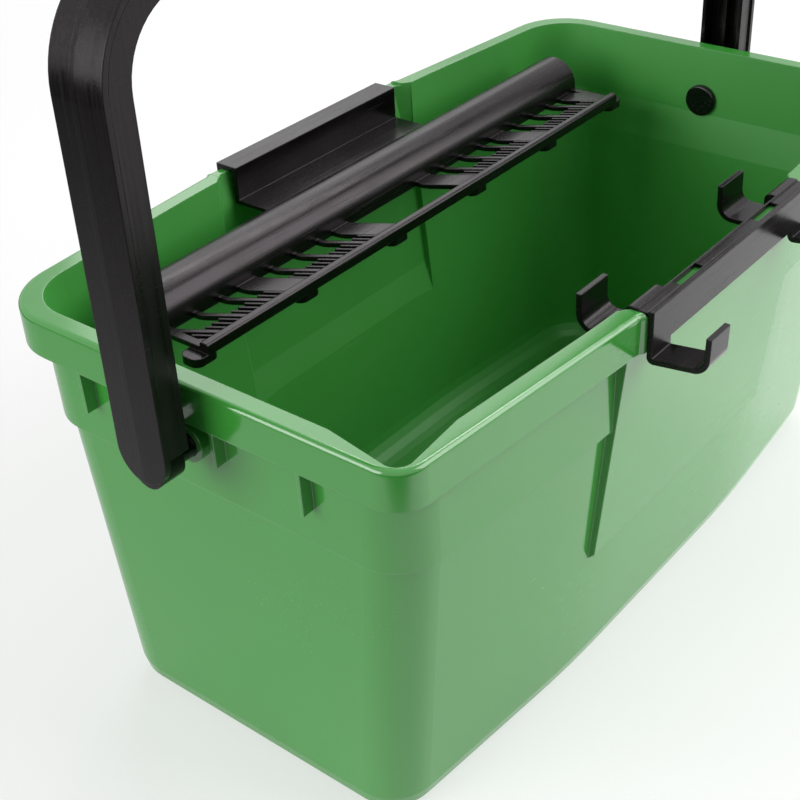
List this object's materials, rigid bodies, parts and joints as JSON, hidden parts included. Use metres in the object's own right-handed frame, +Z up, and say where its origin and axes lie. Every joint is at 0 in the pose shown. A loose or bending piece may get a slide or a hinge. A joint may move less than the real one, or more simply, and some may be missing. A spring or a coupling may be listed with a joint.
{
  "type": "window cleaning bucket",
  "caption": "Rectangular moulded bucket with a swinging bail, a corner pouring lip, a lift-off tool holder on one rim and a lift-off wringing sieve on the other.",
  "frame": {"origin": "centre of the flat base", "axes": "+X along the long side, parallel to the bail's pivot axis; +Y from the tool holder's side to the sieve's side; +Z up"},
  "size_m": [0.573, 0.3378, 0.4585],
  "materials": {
    "green_plastic": "glossy moulded polypropylene, mid green",
    "black_plastic": "satin moulded polypropylene, black",
    "pin_plastic": "satin moulded acetal, black"
  },
  "bodies": {
    "bucket": {"bucket_shell": "green_plastic"},
    "bail": {"bail_handle": "black_plastic", "pivot_pin_left": "pin_plastic", "pivot_pin_right": "pin_plastic"},
    "holder": {"tool_holder": "black_plastic"},
    "sieve": {"sieve": "black_plastic"}
  },
  "joints": [
    {"name": "bail_swing", "type": "hinge", "parent": "bucket", "child": "bail", "pos_m": [0, 0, 0.219], "axis": [1, 0, 0], "range_deg": [-140, 140]},
    {"name": "holder_lift", "type": "slide", "parent": "bucket", "child": "holder", "axis": [0, 0, 1], "range_m": [0, 0.04]},
    {"name": "sieve_lift", "type": "slide", "parent": "bucket", "child": "sieve", "axis": [0, 0, 1], "range_m": [0, 0.07]}
  ]
}
